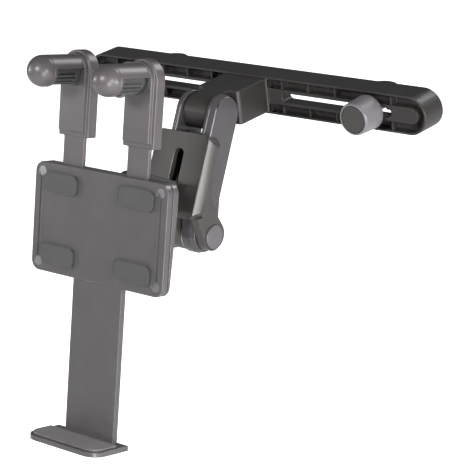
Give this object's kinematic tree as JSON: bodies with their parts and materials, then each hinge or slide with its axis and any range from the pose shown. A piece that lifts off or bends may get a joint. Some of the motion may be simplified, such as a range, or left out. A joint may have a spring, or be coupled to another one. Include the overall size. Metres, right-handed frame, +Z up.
{
  "type": "headrest tablet mount",
  "caption": "Folding tablet holder on a bar that clamps across round headrest posts, with a hinged arm, a slotted plate, a tilting cradle, two padded fingers and a foot.",
  "frame": {"origin": "centre of the bar's flat rear face, which bears on the posts", "axes": "+X along the bar to its right end as seen from the rear seat, +Y from the bar into the posts, +Z up along the posts"},
  "size_m": [0.263, 0.2313, 0.222],
  "materials": {
    "bar_plastic": "satin",
    "arm_plastic": "satin",
    "plate_plastic": "satin",
    "shell_plastic": "satin",
    "finger_plastic": "satin",
    "knob_plastic": "satin",
    "cap_plastic": "matte",
    "black_plastic": "matte",
    "soft_rubber": "matte",
    "foot_rubber": "matte",
    "steel": "brushed",
    "brass": "bright"
  },
  "bodies": {
    "bar": {"bar": "bar_plastic"},
    "right_carriage": {"right_washer": "steel"},
    "right_screw_knob": {"right_knob": "knob_plastic", "right_knob_cap": "cap_plastic", "right_screw": "steel"},
    "right_hook": {"right_jaw": "black_plastic", "right_jaw_liner": "soft_rubber", "right_insert": "brass"},
    "left_carriage": {"left_washer": "steel"},
    "left_screw_knob": {"left_knob": "knob_plastic", "left_knob_cap": "cap_plastic", "left_screw": "steel"},
    "left_hook": {"left_jaw": "black_plastic", "left_jaw_liner": "soft_rubber", "left_insert": "brass"},
    "arm": {"arm_link": "arm_plastic", "upper_pin": "steel", "upper_washer_right": "steel", "upper_washer_left": "steel", "lower_ring_right": "steel", "lower_ring_left": "steel"},
    "plate": {"slotted_plate": "plate_plastic", "lower_pin": "steel", "lower_cap_right": "cap_plastic", "lower_cap_left": "cap_plastic"},
    "slider": {"yoke": "black_plastic", "yoke_clamp_plate": "steel", "yoke_screws": "steel", "tilt_bolt": "steel", "tilt_nut": "steel"},
    "head": {"tilt_head": "black_plastic"},
    "cradle": {"rear_shell": "shell_plastic", "front_shell": "shell_plastic", "shell_screws": "steel", "swivel_ring": "black_plastic", "ring_screws": "steel", "back_pads": "soft_rubber", "foot_pad": "foot_rubber"},
    "fingers": {"finger_carriage": "finger_plastic", "finger_hood_right": "finger_plastic", "finger_hood_left": "finger_plastic", "finger_grip_right": "soft_rubber", "finger_grip_left": "soft_rubber", "finger_screws": "steel"}
  },
  "joints": [
    {"name": "right_clamp_slide", "type": "slide", "parent": "bar", "child": "right_carriage", "axis": [1, 0, 0], "range_m": [-0.055, 0.008]},
    {"name": "right_knob_turn", "type": "hinge", "parent": "right_carriage", "child": "right_screw_knob", "pos_m": [0.0933, 0, 0], "axis": [0, -1, 0], "range_deg": [0, 1800]},
    {"name": "right_hook_slide", "type": "slide", "parent": "right_carriage", "child": "right_hook", "axis": [0, 1, 0], "range_m": [0, 0.004]},
    {"name": "left_clamp_slide", "type": "slide", "parent": "bar", "child": "left_carriage", "axis": [-1, 0, 0], "range_m": [-0.055, 0.008]},
    {"name": "left_knob_turn", "type": "hinge", "parent": "left_carriage", "child": "left_screw_knob", "pos_m": [-0.0933, 0, 0], "axis": [0, -1, 0], "range_deg": [0, 1800]},
    {"name": "left_hook_slide", "type": "slide", "parent": "left_carriage", "child": "left_hook", "axis": [0, 1, 0], "range_m": [0, 0.004]},
    {"name": "arm_swing", "type": "hinge", "parent": "bar", "child": "arm", "pos_m": [0, -0.0567, 0], "axis": [1, 0, 0], "range_deg": [-60, 25]},
    {"name": "plate_fold", "type": "hinge", "parent": "arm", "child": "plate", "pos_m": [0, -0.0867, -0.06573], "axis": [1, 0, 0], "range_deg": [0, 75]},
    {"name": "height_slide", "type": "slide", "parent": "plate", "child": "slider", "axis": [0, 0.4894, 0.8721], "range_m": [0, 0.023]},
    {"name": "cradle_tilt", "type": "hinge", "parent": "slider", "child": "head", "pos_m": [0, -0.1215, -0.02556], "axis": [1, 0, 0], "range_deg": [-20, 20]},
    {"name": "cradle_spin", "type": "hinge", "parent": "head", "child": "cradle", "pos_m": [0, -0.14759, -0.03057], "axis": [0, 0.9636, -0.2672], "continuous": true},
    {"name": "finger_slide", "type": "slide", "parent": "cradle", "child": "fingers", "axis": [0, 0.2672, 0.9636], "range_m": [-0.008, 0.028]}
  ],
  "couplings": [
    {"joint": "right_hook_slide", "follows": "right_knob_turn", "m_per_rad": 0.00012732},
    {"joint": "left_hook_slide", "follows": "left_knob_turn", "m_per_rad": 0.00012732}
  ]
}
